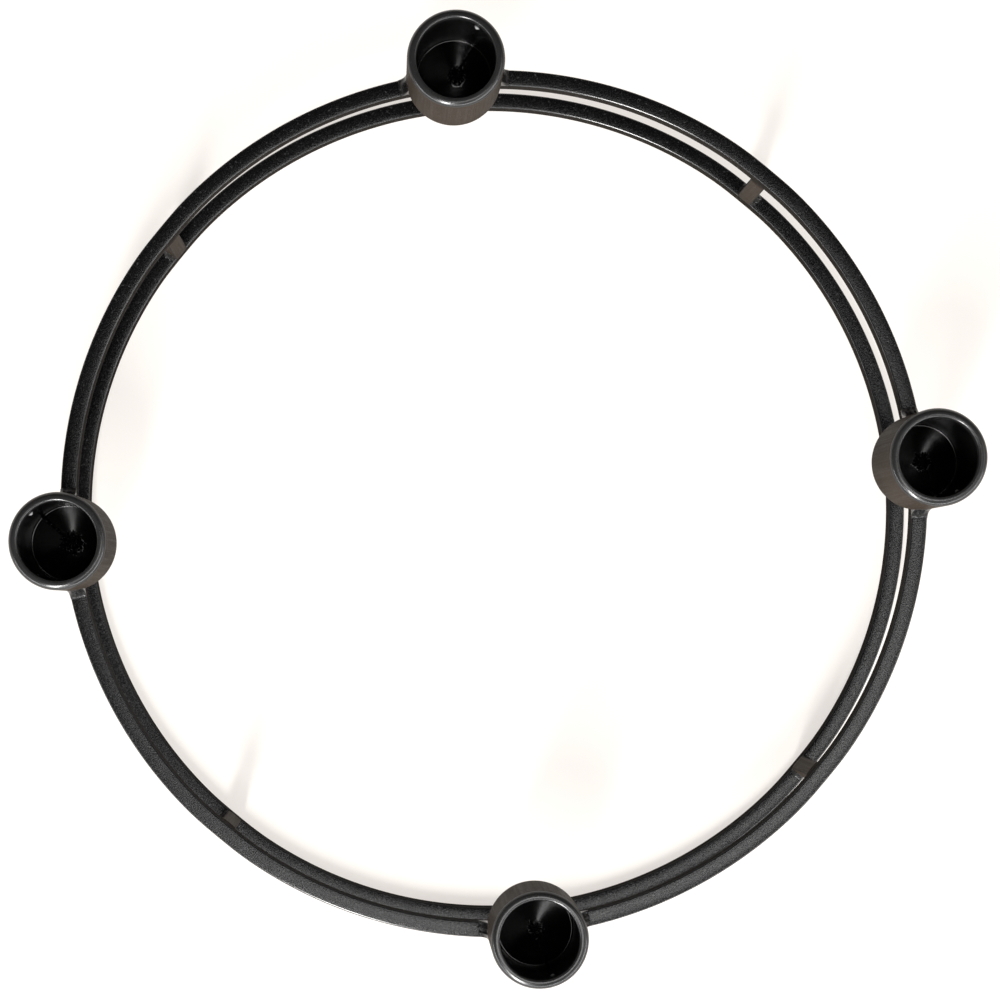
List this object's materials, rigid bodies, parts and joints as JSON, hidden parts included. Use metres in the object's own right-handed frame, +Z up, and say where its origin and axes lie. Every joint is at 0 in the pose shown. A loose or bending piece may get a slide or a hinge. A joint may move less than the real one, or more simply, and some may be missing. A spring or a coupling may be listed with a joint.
{
  "type": "advent candle holder",
  "caption": "Round table-top frame of stacked square-bar hoops, with upright cups on the upper hoop that each hold a taper candle.",
  "frame": {"origin": "on the hoops' common axis, in the plane of the lower hoop's underside", "axes": "+Z up along the hoops' axis and out of the cups' mouths; +X and +Y through cups 1 and 2"},
  "size_m": [0.2834, 0.2834, 0.065],
  "materials": {
    "bar_coat": "satin black powder coat with a fine pale speckle",
    "cup_coat": "satin black coat, smoother on the rim and glossier inside",
    "weld_coat": "satin black coat over rippled weld beads"
  },
  "bodies": {
    "root": {"lower_ring": "bar_coat", "upper_ring": "bar_coat", "post_1": "bar_coat", "post_2": "bar_coat", "post_3": "bar_coat", "post_4": "bar_coat", "candle_cup_1": "cup_coat", "candle_cup_2": "cup_coat", "candle_cup_3": "cup_coat", "candle_cup_4": "cup_coat", "cup_weld_1": "weld_coat", "cup_weld_2": "weld_coat", "cup_weld_3": "weld_coat", "cup_weld_4": "weld_coat", "lower_post_weld_1": "weld_coat", "lower_post_weld_2": "weld_coat", "lower_post_weld_3": "weld_coat", "lower_post_weld_4": "weld_coat", "upper_post_weld_1": "weld_coat", "upper_post_weld_2": "weld_coat", "upper_post_weld_3": "weld_coat", "upper_post_weld_4": "weld_coat"}
  },
  "joints": []
}
